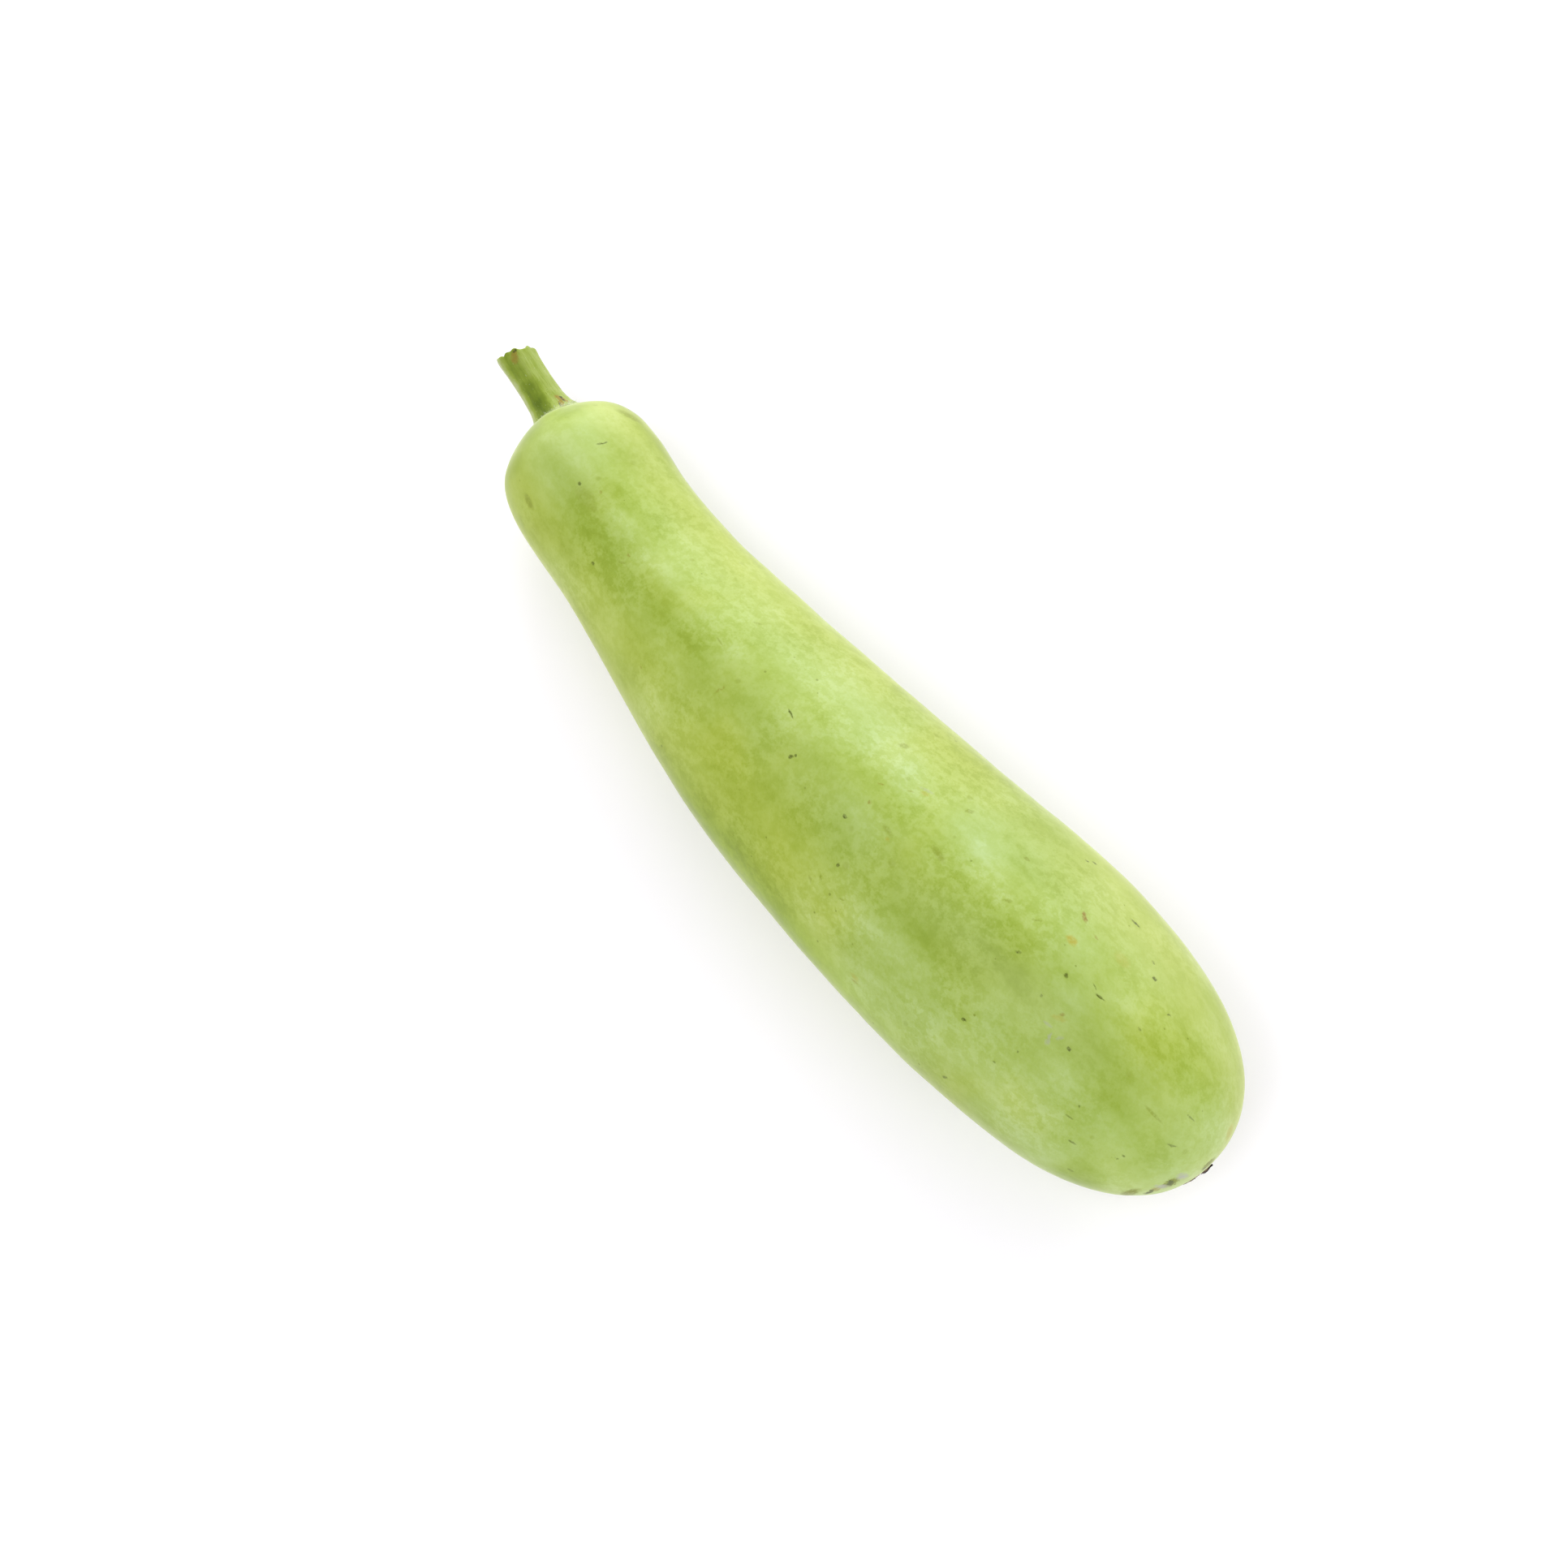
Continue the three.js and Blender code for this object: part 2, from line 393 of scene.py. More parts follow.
def addCamera():
    turn, rise = math.radians(camera["azimuth"]), math.radians(camera["elevation"])
    back = Vector((math.sin(turn) * math.cos(rise), -math.cos(turn) * math.cos(rise), math.sin(rise)))
    bpy.ops.object.camera_add(location=Vector(camera["centre"]) + back * camera["distance"])
    view = bpy.context.active_object
    view.rotation_euler = back.to_track_quat("Z", "Y").to_euler()
    view.rotation_euler.rotate_axis("Y", math.radians(camera["panLeft"]))
    view.data.lens = camera["lens"]
    bpy.context.scene.camera = view
    print("camera placed")


# Floor and lights

studio = {
    "floorSize": 6,
    "floorColour": (0.9, 0.87, 0.95, 1),  # a trace of lilac, so the gourd's green bounce reads as grey
    "floorGlow": 0.07,
    "floorDepth": 0.2 * mm,  # it lies this far below the fruit
    "skyColour": (1, 1, 1, 1),
    "skyStrength": 0.56,
    "boxSize": 1,
    "boxDistance": 1.7,
    "aim": (0, 0, 0.03),
    # which way each soft box stands from +X towards +Y, how high, and its watts
    "softBoxes": {
        "nearFlowerBox": (0, 12, 12.4),
        "nearStemBox": (135, 12, 16.4),
        "overStemBox": (135, 60, 1.8),
        "stemBox": (180, 12, 10.8),
        "cameraBox": (270, 60, 13),
        "backBox": (90, 12, 14.8),
    },
}


def addStudio():
    bpy.ops.mesh.primitive_plane_add(size=studio["floorSize"], location=(0, 0, -studio["floorDepth"]))
    floor = bpy.context.active_object
    floor.name = "floor"
    paper, _, _ = newMaterial("palePaper", {
        "Base Color": studio["floorColour"],
        "Roughness": 0.9,
        "Specular IOR Level": 0,
        "Emission Color": studio["skyColour"],
        "Emission Strength": studio["floorGlow"],
    })
    floor.data.materials.append(paper)

    sky = bpy.data.worlds.new("paleRoom")
    sky.use_nodes = True
    sky.node_tree.nodes["Background"].inputs["Color"].default_value = studio["skyColour"]
    sky.node_tree.nodes["Background"].inputs["Strength"].default_value = studio["skyStrength"]
    bpy.context.scene.world = sky

    for name, (turn, rise, watts) in studio["softBoxes"].items():
        turn, rise = math.radians(turn), math.radians(rise)
        away = Vector((math.cos(turn) * math.cos(rise), math.sin(turn) * math.cos(rise), math.sin(rise)))
        bpy.ops.object.light_add(type="AREA", location=Vector(studio["aim"]) + away * studio["boxDistance"])
        box = bpy.context.active_object
        box.name = name
        box.rotation_euler = (-away).to_track_quat("-Z", "Y").to_euler()
        box.data.size = studio["boxSize"]
        box.data.energy = watts
    bpy.context.scene.view_settings.view_transform = "Standard"
    print("studio placed")


# Rind: one skin over the whole fruit

rind = {
    "length": 337,
    "shoulder": (36, 2.1),
    "flowerEnd": (80, 2.3),
    # distance from the stem end, radius without the rounded ends, sideways offset, ridge's lean from the top
    "stations": [
        (0, 32.1, 20.2, -17), (12, 32.1, 17, -16), (25, 29.4, 13, -15), (50, 27.9, 8.2, -12.5),
        (80, 30.3, 4, -10), (115, 35.5, 0.4, -7), (155, 40.2, -2.6, -2), (200, 43.5, -2.6, -3),
        (245, 45.5, -0.6, -4), (280, 44.7, 0.8, -5), (310, 45.1, 1.7, -6), (337, 45.1, 0.6, -6),
    ],
    "rings": (8, 18, 10),
    "ribs": 5,
    "sides": 8,  # of each rib
    "ribDepth": 0.022,
    "drawnIn": 0.998,  # leaves room for the swellings
    "belly": (203, 41.8),
    "rise": 0.079,
    "sag": (255, 0.0022),
    "origin": (-155.04, 0.876),
    # size and height of the long swellings and of the small dents
    "swell": (55 * mm, 1.2 * mm),
    "dents": (16 * mm, 0.4 * mm),
}


def smoothBetween(rows, at, column):  # a smooth curve through one column of the rows
    last = len(rows) - 1
    i = min(max(k for k in range(last + 1) if rows[k][0] <= at), last - 1)

    def slope(k):
        before, after = rows[max(k - 1, 0)], rows[min(k + 1, last)]
        return (after[column] - before[column]) / (after[0] - before[0])

    (start, end), (low, high) = (rows[i][0], rows[i + 1][0]), (rows[i][column], rows[i + 1][column])
    span = end - start
    t = (at - start) / span
    return (
        low * (2 * t**3 - 3 * t**2 + 1)
        + high * (3 * t**2 - 2 * t**3)
        + slope(i) * span * (t**3 - 2 * t**2 + t)
        + slope(i + 1) * span * (t**3 - t**2)
    )


def roundedEnd(depth, end):
    length, roundness = end
    fromBody = min(max(1 - depth / length, 0), 1)
    return (1 - fromBody**roundness) ** (1 / roundness)


def rindRadius(at):
    ends = roundedEnd(at, rind["shoulder"]) * roundedEnd(rind["length"] - at, rind["flowerEnd"])
    return smoothBetween(rind["stations"], at, 1) * ends * rind["drawnIn"]


def rindCentre(at):
    bellyAt, bellyHeight = rind["belly"]
    sagFrom, sagRate = rind["sag"]
    height = bellyHeight + rind["rise"] * (at - bellyAt) - sagRate * max(at - sagFrom, 0) ** 2
    startX, startY = rind["origin"]
    return Vector((startX + at, startY + smoothBetween(rind["stations"], at, 2), height)) * mm


def rindDirection(at):
    step = 0.5
    return rindCentre(min(at + step, rind["length"])) - rindCentre(max(at - step, 0))


def ringPlaces():  # closer together towards both ends
    shoulder, body, flowerEnd = rind["rings"]
    length, shoulderLength, endLength = rind["length"], rind["shoulder"][0], rind["flowerEnd"][0]
    places = [shoulderLength * (1 - math.cos(math.pi / 2 * i / shoulder)) for i in range(1, shoulder)]
    bodyLength = length - shoulderLength - endLength
    places += [shoulderLength + bodyLength * i / body for i in range(body)]
    places += [length - endLength * (1 - math.sin(math.pi / 2 * i / flowerEnd)) for i in range(flowerEnd)]
    return places


def modelRind():
    places = ringPlaces()
    sides = rind["sides"]
    ribShape = [1 + rind["ribDepth"] * math.cos(2 * math.pi * side / sides) for side in range(sides)]
    fruit = ribbedTube("rind", [(at, rindRadius(at)) for at in places], rind["ribs"], ribShape)
    for at, end in ((places[-1], rind["length"]), (places[0], 0)):
        pickVertices(fruit, lambda vertex: abs(vertex.co.x - at * mm) < 0.01 * mm)
        closePicked((end - at) * mm)
    faceOutward(fruit)
    straight = [vertex.co.copy() for vertex in fruit.data.vertices]

    # its ribs lean, and it is bent, ring by ring onto the fruit's own line
    for at in [0, *places, rind["length"]]:
        centre, way = rindCentre(at), rindDirection(at)
        pickVertices(fruit, lambda vertex: abs(straight[vertex.index].x - at * mm) < 0.01 * mm)
        middle = (at * mm, 0, 0)
        turnPicked(-math.radians(smoothBetween(rind["stations"], at, 3)), "X", middle)
        turnPicked(-math.atan2(way.z, math.hypot(way.x, way.y)), "Y", middle)
        turnPicked(math.atan2(way.y, way.x), "Z", middle)
        bpy.ops.transform.translate(value=centre - Vector(middle))
        bpy.ops.object.mode_set(mode="OBJECT")

    # the straight shape stays with it as an attribute, which the skin's patterns follow
    store(fruit, "grown", straight)
    subdivideSmooth(fruit, 3)
    roughen(fruit, "swell", *rind["swell"])
    roughen(fruit, "dents", *rind["dents"])
    scalePicked(fruit, lambda vertex: vertex.co.z < 0, (1, 1, 0))
    bpy.ops.object.shade_smooth()
    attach(fruit, "root")
    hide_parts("fruit")
    print("rind modelled,", len(fruit.data.polygons), "faces")
    return fruit


skin = {
    "shader": {
        "Subsurface Weight": 0.12,
        "Subsurface Radius": (0.7, 1, 0.25),
        "Subsurface Scale": 3 * mm,
        "Specular IOR Level": 0.28,
        "Sheen Weight": 0.26,
        "Sheen Roughness": 0.3,
        "Sheen Tint": (1, 0.99, 0.88, 1),
    },
    "roughness": (0.2, 0.9, 0.38, 0.5),  # a deep and a pale tone, and how rough the skin is at each
    # from deep green to whitish bloom
    "tones": [
        (0, (0.205, 0.290, 0.014)), (0.3, (0.260, 0.352, 0.038)), (0.5, (0.310, 0.407, 0.070)),
        (0.7, (0.356, 0.457, 0.112)), (1, (0.432, 0.537, 0.200)),
    ],
    # what the tone is made of, each with how strong it is; patches are longer along the fruit than across it
    "lengthSqueeze": 0.88,
    "clouds": (15, 0.66),  # size
    "strokes": (0.7, 0.12),
    "strokeSqueeze": 0.25,
    "strokeSlant": math.radians(25),
    "flecks": (2.8, 0.16),
    "fleckEdge": (0.4, 0.6),
    "zones": ((70, 20, 130), 24),  # shift and size of the noise by which flecks and grain come and go
    "zoneFade": (0.36, 0.62, 0.65, 1.3),
    # size, squeeze along the fruit, detail, roughness
    "patches": (38, 0.88, 1, 0.5, 0.55),
    "bands": (10, 0.2, 2, 0.6, 0.42),
    "veins": (3.4, 0.2, 2, 0.5, 0.11),
    "grain": (0.9, 1, 2, 0.6, 0.22),
    "middleTone": 0.5,
    "crestHighlight": (2, 13, 2),  # angle of the painted highlight along the crest from the ridge, and from there where it ends and is full
    # paler ends: distance where it starts, where it is full and how much paler
    "ends": (
        (45, 14, 0.18),  # shoulder
        (8, 2, 0.25),  # round the stem
        (245, 300, 0.08),  # belly
        (318, 335, 0.25),  # round the dried flower
    ),
    # soft-edged parts of the skin: each fade runs between two angles or distances, from 0 or low to 1 or high
    "regions": {
        # the painted highlight along the crest fades out towards the belly
        "crestHighlightLength": (("along", 245, 95, 0, 0.12),),
        "topSide": (("fromRidge", 178, 150),),
        "even": (("along", 8, 50, 0.5, 1),),  # the shoulder is more even
        "fine": (("along", 270, 310, 1, 0.75),),
        # painted whitish rim highlight along the far flank's edge, towards the stem end
        "farRimHighlight": (("angle", -62, -88, 0, 0.4), ("along", 135, 105), ("angle", -150, -110)),
        # painted warm reflection of a neighbouring gourd, not in the scene, on the far side of the neck
        "farNeckBounce": (("angle", -8, -45), ("angle", -150, -100), ("along", 235, 170, 0, 0.9)),
        # painted warm light on the +Y side, the side that faces the back soft box
        "litSideLight": (("angle", 20, 55), ("angle", 150, 100)),
        # painted paler highlight colour on the lit side beside the crest, along the middle of the fruit
        "nearCrestHighlight": (("angle", 0, 25), ("angle", 85, 65), ("along", 145, 175, 0, 0.8), ("along", 255, 225)),
        "farBelly": (("along", 240, 300, 0, 0.5), ("angle", 10, -30), ("angle", -150, -110)),
        # painted saturated green reflection of a neighbouring gourd, not in the scene, on the far flank
        "farFlankBounce": (
            ("angle", -55, -78, 0, 0.9), ("angle", -125, -95), ("along", 105, 160), ("along", 275, 195),
        ),
    },
    # warm tint, for the random warm drift and for the painted reflection on the far side of the neck
    "warmAndBounceTint": (1.06, 1.0, 0.72, 1),
    # cool tint, for the random cool drift, the far belly and the painted highlight beside the crest
    "coolAndHighlightTint": (0.97, 1.0, 1.25, 1),
    # tint of the painted light on the +Y side
    "litSideCreamTint": (1.07, 1.0, 0.95, 1),
    # tint of the painted reflection on the far flank
    "flankBounceTint": (0.94, 1.02, 0.42, 1),
    "drifts": ((310, 40, 90), 46),  # shift and size of the warmer and cooler patches
    "warmDrift": (0.5, 0.66, 0, 0.6),
    "coolDrift": (0.5, 0.36, 0, 0.45),
    # broad paler and deeper places: distance, angle, length, width, turn and how much paler
    "places": [
        (24, -54, 34, 20, 0, -0.2), (29, 16, 22, 13, 0, 0.13), (22, 86, 40, 26, 0, -0.4),
        (54, 92, 50, 14, 0, -0.4), (8, 8, 14, 28, 0, -0.35), (11, -52, 16, 30, 0, -0.3),
        (12, 86, 14, 20, 0, -0.2), (56, -26, 44, 18, 0, -0.1), (62, -7, 90, 9, 0, -0.12),
        (72, 9, 100, 7, 0, 0.08), (92, 58, 80, 16, 0, 0.12), (95, 34, 34, 12, 0, -0.08),
        (47, 30, 26, 12, 0, 0.12), (160, -76, 90, 20, 0, -0.22), (185, 30, 70, 26, 0, 0.08),
        (238, 4, 34, 12, 0, 0.1), (268, -8, 18, 12, 0, -0.14), (238, -52, 90, 34, 0, 0.2),
        (212, -30, 30, 24, 0, 0.12), (250, 15, 70, 14, 0, 0.15), (290, -10, 30, 14, 0, -0.2),
        (262, -11, 26, 10, 0, -0.1), (290, -55, 30, 20, 0, 0.1), (312, -70, 16, 20, 0, -0.2),
        (291, 21, 20, 12, 0, 0.12),
    ],
    "placeDrift": (14, 12),  # size and depth of the unevenness of their outlines
    # scattered stains and dots: spacing, size, share of the cells that hold one
    "stains": {"Spacing": 9.0, "Size": 1.3, "Share": 0.4},
    "stainStrength": 0.3,
    "dots": {"Spacing": 5.5, "Size": 0.5, "Share": 0.4},
    "dotStrength": 0.55,
    "dotColour": (0.13, 0.16, 0.0, 1),
    "stainColour": (0.20, 0.25, 0.01, 1),
    # heights of the dimples, the fine ripple and the pores
    "bumps": ((9, 0.10), (2.6, 0.035), (0.7, 0.012)),
}

# marks: distance from the stem end, angle from the ridge, length, width, turn and strength
nickColour = (0.072, 0.094, 0, 1)
rustColour = (0.210, 0.122, 0, 1)
amberColour = (0.370, 0.300, 0.020, 1)
oliveColour = (0.170, 0.205, 0, 1)
ashColour = (0.330, 0.330, 0.280, 1)
skinMarks = [
    (nickColour, [
        (28, 28, 3.6, 0.8, 84, 0.85), (149.8, 1.7, 3.2, 0.7, -20, 0.9), (248.2, 56, 1.5, 0.8, 35, 0.9),
        (249.6, 59, 1.5, 0.8, 35, 0.85), (271.5, 49, 2.8, 0.9, 7, 1), (280.5, 9, 2.5, 0.8, 12, 1),
        (257.5, -2.1, 1.6, 0.7, 45, 0.85), (36.8, -1, 1.3, 1.1, 0, 0.8), (61.2, -27.5, 1.2, 1.1, 0, 0.85),
        (160.8, -11.9, 1.7, 1.2, 60, 0.9), (161.8, -9.9, 1.1, 0.9, 0, 0.8), (187.5, -12.3, 1.3, 1.2, 0, 0.95),
        (196.2, -29.1, 1.3, 1.0, 60, 0.8), (270.5, 5, 1.8, 1.1, -40, 0.85), (277.8, 10.4, 1.7, 0.5, -25, 0.6),
        (286.5, 36, 1.4, 1.2, 0, 0.9), (296, 29.5, 1.4, 0.7, 45, 0.7), (258, -38, 1.5, 1.0, 30, 1),
        (284.5, -15, 1.1, 1.0, 0, 0.9), (263, -67.5, 2.2, 1.0, 60, 0.7), (293.5, 12.9, 1.0, 0.9, 0, 0.5),
        (270, -7.8, 0.9, 0.9, 0, 0.6), (283, 41.6, 1.0, 0.9, 0, 0.6), (297, -30.4, 1.0, 0.8, 0, 0.6),
        (297, -37.9, 2.4, 0.6, 10, 0.5), (303.2, -47.7, 2.4, 0.8, 10, 0.7), (319.8, 8.5, 3.0, 0.6, 20, 0.55),
        (322.8, -10, 2.6, 0.6, 40, 0.6), (316.2, -35.5, 0.9, 0.8, 0, 0.7), (315.8, -39.5, 0.9, 0.8, 0, 0.6),
        # the mark at 335.1 mm and 5 degrees is painted shadow of the dried style
        (335.1, 5, 0.6, 3.4, 0, 1.3), (332.0, -38, 1.6, 3.0, 20, 1.6), (330.8, -61, 0.9, 4.4, 0, 1.6),
        (275, -31.6, 0.9, 0.8, 0, 0.5), (272, -42.7, 0.9, 0.7, 0, 0.5), (309.5, -64.5, 1.8, 0.9, 0, 0.5),
    ]),
    (rustColour, [
        (262, 29.8, 3.4, 1.5, -45, 0.85), (190, -0.7, 1.3, 1.2, 0, 0.6), (188, 8.5, 2.0, 0.5, 35, 0.4),
        (196, 16, 2.2, 0.5, 35, 0.4), (44, 7, 1.2, 1.0, 0, 0.4), (277, -7.1, 1.8, 0.9, 35, 0.5),
        (221.5, -64, 2.4, 0.9, 20, 0.4), (331.2, -53, 1.8, 3.0, 10, 0.6), (68.5, -4, 1.0, 0.8, 0, 0.4),
        (99.8, -43.2, 1.2, 0.8, 0, 0.35), (127.2, -14, 4.0, 0.6, 75, 0.3), (268.2, 26.7, 1.6, 0.8, -20, 0.4),
    ]),
    (amberColour, [
        (264.8, 17.1, 3.2, 3.0, 0, 0.7), (199.5, 20, 3.0, 1.6, 20, 0.35), (277.2, 28.9, 5.0, 4.0, 0, 0.25),
        (331.2, 43.5, 3.0, 4.2, 0, 0.5), (221, -62, 3.2, 2.0, 0, 0.4), (203, -6, 1.4, 1.2, 0, 0.4),
        (277, -9, 4.0, 1.6, 30, 0.35),
    ]),
    (ashColour, [
        (331.5, -46.5, 2.8, 2.8, 30, 0.8), (332.4, -24, 2.6, 3.4, 0, 0.8), (278.8, -18, 4.2, 1.0, 110, 0.5),
        (276, -14, 2.6, 0.9, 10, 0.4), (281, -14.5, 2.4, 0.9, 60, 0.35), (199, 22, 5.0, 1.2, 20, 0.3),
    ]),
    (oliveColour, [
        (18.2, 64, 9.0, 3.8, 42, 0.6), (29, -42, 5.0, 2.6, -10, 0.6), (181.2, 31.6, 3.6, 2.2, 50, 0.5),
        (213.2, 29.3, 3.2, 1.4, 50, 0.5), (218.2, 4, 6.5, 2.2, -12, 0.45), (201, -3.5, 4.6, 1.6, -10, 0.35),
        (194, -39.1, 2.4, 0.9, -40, 0.5), (191.5, -43.7, 2.4, 0.8, -40, 0.4),
        (203.8, -38.9, 2.2, 0.5, 30, 0.5),
        (237.2, 30.8, 1.6, 1.4, 0, 0.6), (244.2, 9.5, 3.0, 0.9, 45, 0.45), (254.5, 12.3, 3.0, 0.8, 45, 0.4),
        # the mark at 334.6 mm and 9 degrees is painted shadow of the dried style
        (312.5, -7, 6.5, 1.0, 5, 0.45), (334.6, 9, 1.2, 5.6, 0, 1.4), (332.0, -38, 2.6, 6.0, 0, 1.3),
        (327.5, -68, 3.0, 9.0, 0, 1.1), (113.8, 3.1, 3.6, 0.6, -10, 0.4), (115, 26.5, 2.6, 0.9, 40, 0.4),
        (69, -10, 2.6, 0.9, 40, 0.35), (42, -3, 9.0, 5.0, 0, 0.25),
    ]),
]


def skinStrokes(tree, along, around):
    size, contrast = skin["strokes"]
    sine, cosine = math.sin(skin["strokeSlant"]), math.cos(skin["strokeSlant"])
    place = tree.nodes.new("ShaderNodeCombineXYZ")
    wire(tree, place.inputs["X"], plus(tree, times(tree, along, cosine), times(tree, around, sine)))
    lengthwise = minus(tree, times(tree, around, cosine), times(tree, along, sine))
    wire(tree, place.inputs["Y"], times(tree, lengthwise, skin["strokeSqueeze"]))
    return times(tree, useGroup(tree, strokes, Place=place.outputs["Vector"], Size=size)["Stroke"], contrast)


def skinNoise(tree, place, name):
    size, squeeze, detail, roughness, contrast = skin[name]
    squeezed = calcVector(tree, "MULTIPLY", place, (squeeze, 1, 1))
    return times(tree, evenNoise(tree, squeezed, size, detail, roughness), contrast)


def region(tree, places, name):
    _, along, angle, _ = places
    fields = {"along": along, "angle": angle, "fromRidge": calc(tree, "ABSOLUTE", angle)}
    return times(tree, *(fade(tree, fields[field], *limits) for field, *limits in skin["regions"][name]))


def skinTone(tree, places):
    place, along, angle, radius = places
    squeezed = calcVector(tree, "MULTIPLY", place, (skin["lengthSqueeze"], 1, 1))
    cloudSize, cloudContrast = skin["clouds"]
    cloud = times(tree, useGroup(tree, mottle, Place=squeezed, Size=cloudSize)["Cloud"], cloudContrast)
    around = times(tree, calc(tree, "RADIANS", angle), radius)
    stroke = times(tree, skinStrokes(tree, along, around), region(tree, places, "topSide"))

    fleckSize, fleckContrast = skin["flecks"]
    fleck = noise(tree, squeezed, fleckSize, detail=3, roughness=0.65)
    fleck = fade(tree, fleck, *skin["fleckEdge"], -0.5 * fleckContrast, 0.5 * fleckContrast)
    zoneShift, zoneSize = skin["zones"]
    zone = noise(tree, calcVector(tree, "ADD", place, zoneShift), zoneSize, detail=1)
    busy = times(tree, fade(tree, zone, *skin["zoneFade"]), region(tree, places, "fine"))
    fine = times(tree, plus(tree, fleck, skinNoise(tree, place, "grain")), busy)

    broad = (skinNoise(tree, place, name) for name in ("patches", "bands", "veins"))
    texture = times(tree, plus(tree, cloud, stroke, fine, *broad), region(tree, places, "even"))

    # a painted highlight along the crest of the ridge
    middle, *crestWidth = skin["crestHighlight"]
    offCrest = calc(tree, "ABSOLUTE", minus(tree, angle, middle))
    crestHighlight = times(tree, fade(tree, offCrest, *crestWidth), region(tree, places, "crestHighlightLength"))
    ends = (fade(tree, along, start, end, 0, amount) for start, end, amount in skin["ends"])
    spots = softSpots(tree, places, skin["placeDrift"], skin["places"])
    # the tone takes in the painted crest highlight and the painted far rim highlight
    return plus(tree, skin["middleTone"], texture, crestHighlight, region(tree, places, "farRimHighlight"), *ends, *spots)


def skinTint(tree, colour, places):
    shift, size = skin["drifts"]
    drift = noise(tree, calcVector(tree, "ADD", places[0], shift), size, detail=2)
    # random warm drift plus the painted reflection on the far side of the neck
    warmAndBounce = plus(tree, fade(tree, drift, *skin["warmDrift"]), region(tree, places, "farNeckBounce"))
    coolAndHighlight = plus(tree, fade(tree, drift, *skin["coolDrift"]), region(tree, places, "farBelly"))
    # the painted highlight beside the crest is made paler with the cool tint
    coolAndHighlight = plus(tree, coolAndHighlight, region(tree, places, "nearCrestHighlight"))
    # painted light on the +Y side and painted reflection on the far flank
    litSideCream, flankBounce = region(tree, places, "litSideLight"), region(tree, places, "farFlankBounce")
    for amount, tint in (
        (litSideCream, "litSideCreamTint"), (flankBounce, "flankBounceTint"), (warmAndBounce, "warmAndBounceTint"), (coolAndHighlight, "coolAndHighlightTint"),
    ):
        colour = blend(tree, amount, colour, skin[tint], "MULTIPLY")
    return colour


def skinMaterial():
    material, tree, shader = newMaterial("waxySkin", skin["shader"])
    places = grownPlaces(tree)
    tone = skinTone(tree, places)
    colour = skinTint(tree, ramp(tree, tone, skin["tones"]), places)
    for kind, kindColour, strength in (
        ("stains", "stainColour", "stainStrength"), ("dots", "dotColour", "dotStrength"),
    ):
        mask = useGroup(tree, specks, Place=places[0], **skin[kind])["Mask"]
        colour = blend(tree, times(tree, mask, skin[strength]), colour, skin[kindColour])
    for markColour, marks in reversed(skinMarks):
        colour = blend(tree, markMask(tree, places, marks), colour, markColour)
    wire(tree, shader.inputs["Base Color"], colour)
    wire(tree, shader.inputs["Roughness"], fade(tree, tone, *skin["roughness"]))

    bumps = (times(tree, noise(tree, places[0], size, detail=1), depth) for size, depth in skin["bumps"])
    bumpNormal(tree, shader, plus(tree, *bumps))
    print("skin coloured")
    return material


# Stem: a ribbed stalk with a flared foot and a ragged slanting cut

stem = {
    "direction": (-1, 0.165, 0.09),
    # distance from the foot and radius
    "rings": [
        (-7, 9), (-3.5, 9.8), (-1.2, 9.6), (0.6, 8.95), (2.2, 8.0), (4.2, 7.2), (7, 6.7), (12, 6.35),
        (18, 6.3), (23, 6.5), (26.2, 6.8), (27.2, 6.75),
    ],
    "ribs": 5,
    "ribShape": (1.055, 1.02, 0.975, 0.99, 1.01, 0.99, 0.97, 1.01),
    "cutSlant": 0.26,  # the -Y side stands longer
    # how far the torn edge stands above or below the cut, in turn round the stalk from the top
    "tears": (
        0.75, -0.3, 0, 0.1, 0.05, -0.3, -0.2, 0.1, 0, -0.15, 0.1, 0.2, -0.1, 0.1, 0.1, -0.1, 0.1, 0, -0.1,
        -0.25,
    ),
    "tearDepth": 1.2,
    # share of the ring before, and how far up, of the lip, the sunk pith and its middle
    "cut": ((0.86, 0.15), (0.6 / 0.86, -0.8), (0.5, -0.2)),
    "cutShare": 0.93,  # of the radius, inside which it is cut face
    "grain": (1.6 * mm, 0.25 * mm),
}


def sideAngle(vertex):  # degrees from the top, positive on the +Y side of the laid stalk
    return math.degrees(math.atan2(-vertex.co.y, vertex.co.z))


